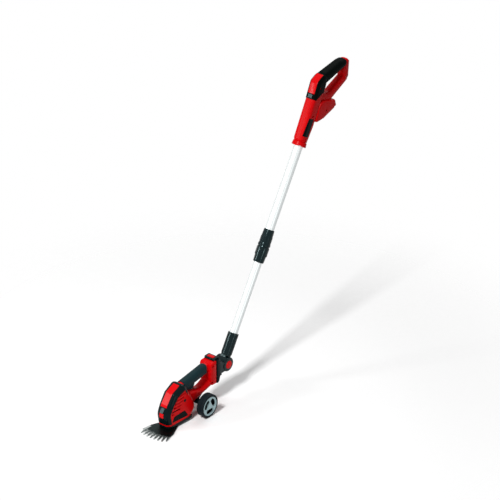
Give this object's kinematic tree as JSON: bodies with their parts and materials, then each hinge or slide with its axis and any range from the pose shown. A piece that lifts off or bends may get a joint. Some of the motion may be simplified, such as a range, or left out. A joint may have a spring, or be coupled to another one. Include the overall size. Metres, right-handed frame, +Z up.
{
  "type": "cordless grass shears with telescopic pole",
  "caption": "Wheeled cordless grass-shear head with toothed blades on a tilting telescopic pole with a D-shaped upper handle and a bare battery port.",
  "frame": {"origin": "on the comb blade's underside, on the axis that the moving blade swings about; z = 0 is the ground that the comb and the wheels rest on", "axes": "+X to the tool's left, -Y forward over the blades, +Z up; the halves of the housing meet at X = 0"},
  "size_m": [0.13, 0.95, 0.9195],
  "materials": {
    "red_shell": "satin moulded red",
    "black_plastic": "fine moulded grain",
    "soft_skin": "soft touch overmould",
    "grey_button": "fine moulded grain",
    "light_grey": "satin moulded grey",
    "tyre": "moulded black wheel",
    "steel": "ground",
    "dark_blade": "dark coated with ground teeth",
    "gear_nylon": "natural nylon",
    "bare_aluminium": "drawn and clear anodised"
  },
  "bodies": {
    "head": {"left_shell": "red_shell", "right_shell": "red_shell", "nose_cover": "black_plastic", "nose_panel": "red_shell", "release_trim": "red_shell", "left_soft_grip": "soft_skin", "right_soft_grip": "soft_skin", "badge_plate": "black_plastic", "head_switch": "black_plastic", "housing_screws": "steel", "motor": "steel", "motor_plate": "steel", "gear_axle": "steel", "sole": "black_plastic", "comb_blade": "steel", "blade_pivot": "steel", "blade_screws": "steel", "head_contacts": "black_plastic", "wheel_bracket": "black_plastic", "axle": "steel", "axle_clips": "steel", "adapter": "black_plastic", "tilt_fork": "black_plastic", "tilt_pin": "steel", "tilt_spring": "steel"},
    "blade": {"moving_blade": "dark_blade"},
    "gear": {"drive_gear": "gear_nylon"},
    "pinion": {"motor_pinion": "steel"},
    "blade_release": {"release_button": "grey_button"},
    "head_lock_off": {"lock_off_button": "soft_skin"},
    "head_trigger": {"head_trigger": "soft_skin"},
    "left_wheel": {"left_wheel": "tyre", "left_hub_cap": "light_grey"},
    "right_wheel": {"right_wheel": "tyre", "right_hub_cap": "light_grey"},
    "latch": {"adapter_latch": "red_shell"},
    "tilt_release": {"tilt_button": "red_shell"},
    "lower_pole": {"pole_socket": "black_plastic", "lower_tube": "bare_aluminium", "tube_bush": "black_plastic"},
    "upper_pole": {"lock_body": "black_plastic", "lock_collet": "black_plastic", "upper_tube": "bare_aluminium", "handle_left_shell": "red_shell", "handle_right_shell": "red_shell", "handle_left_grip": "soft_skin", "handle_right_grip": "soft_skin", "handle_panel": "red_shell", "handle_switch": "black_plastic", "handle_badge_plate": "black_plastic", "battery_rails": "red_shell", "battery_contacts": "black_plastic", "handle_screws": "steel"},
    "twist_nut": {"lock_nut": "black_plastic"},
    "upper_trigger": {"handle_trigger": "soft_skin"},
    "upper_lock_off": {"handle_lock_off": "grey_button"}
  },
  "joints": [
    {"name": "blade_swing", "type": "hinge", "parent": "head", "child": "blade", "pos_m": [0, 0, 0.0037], "axis": [0, 0, 1], "range_deg": [-5.5, 0]},
    {"name": "gear_spin", "type": "hinge", "parent": "head", "child": "gear", "pos_m": [0, -0.034, 0.025], "axis": [0, 0, 1], "continuous": true},
    {"name": "pinion_spin", "type": "hinge", "parent": "head", "child": "pinion", "pos_m": [0, -0.009, 0.025], "axis": [0, 0, 1], "continuous": true},
    {"name": "blade_release_press", "type": "slide", "parent": "head", "child": "blade_release", "axis": [0, 1, 0], "range_m": [0, 0.003], "stiffness_N_per_m": 400, "springref_m": -0.002},
    {"name": "head_lock_off_press", "type": "slide", "parent": "head", "child": "head_lock_off", "axis": [-1, 0, 0], "range_m": [0, 0.0025], "stiffness_N_per_m": 400, "springref_m": -0.002},
    {"name": "head_trigger_pull", "type": "hinge", "parent": "head", "child": "head_trigger", "pos_m": [0, 0.02, 0.1055], "axis": [1, 0, 0], "range_deg": [0, 7], "stiffness_Nm_per_rad": 0.8, "springref_deg": -5.73},
    {"name": "left_wheel_spin", "type": "hinge", "parent": "head", "child": "left_wheel", "pos_m": [0.05, 0.065, 0.0375], "axis": [1, 0, 0], "continuous": true},
    {"name": "right_wheel_spin", "type": "hinge", "parent": "head", "child": "right_wheel", "pos_m": [-0.05, 0.065, 0.0375], "axis": [1, 0, 0], "continuous": true},
    {"name": "latch_press", "type": "slide", "parent": "head", "child": "latch", "axis": [0, 0, -1], "range_m": [0, 0.0025], "stiffness_N_per_m": 400, "springref_m": -0.002},
    {"name": "tilt_release_press", "type": "slide", "parent": "head", "child": "tilt_release", "axis": [-1, 0, 0], "range_m": [0, 0.003], "stiffness_N_per_m": 400, "springref_m": -0.002, "deforming": ["tilt_spring"]},
    {"name": "pole_tilt", "type": "hinge", "parent": "head", "child": "lower_pole", "pos_m": [0, 0.207, 0.102], "axis": [1, 0, 0], "range_deg": [-30, 45]},
    {"name": "telescope", "type": "slide", "parent": "lower_pole", "child": "upper_pole", "axis": [0, 0.5195, 0.8545], "range_m": [-0.2, 0]},
    {"name": "lock_twist", "type": "hinge", "parent": "upper_pole", "child": "twist_nut", "pos_m": [0, 0.38883, 0.40106], "axis": [0, 0.5195, 0.8545], "range_deg": [0, 90]},
    {"name": "upper_trigger_pull", "type": "hinge", "parent": "upper_pole", "child": "upper_trigger", "pos_m": [0, 0.68548, 0.88896], "axis": [-1, 0, 0], "range_deg": [0, 8], "stiffness_Nm_per_rad": 0.8, "springref_deg": -5.73},
    {"name": "upper_lock_off_press", "type": "slide", "parent": "upper_pole", "child": "upper_lock_off", "axis": [0, 0.8545, -0.5195], "range_m": [0, 0.0025], "stiffness_N_per_m": 400, "springref_m": -0.002}
  ],
  "couplings": [
    {"joint": "pinion_spin", "follows": "gear_spin", "ratio": -4}
  ]
}
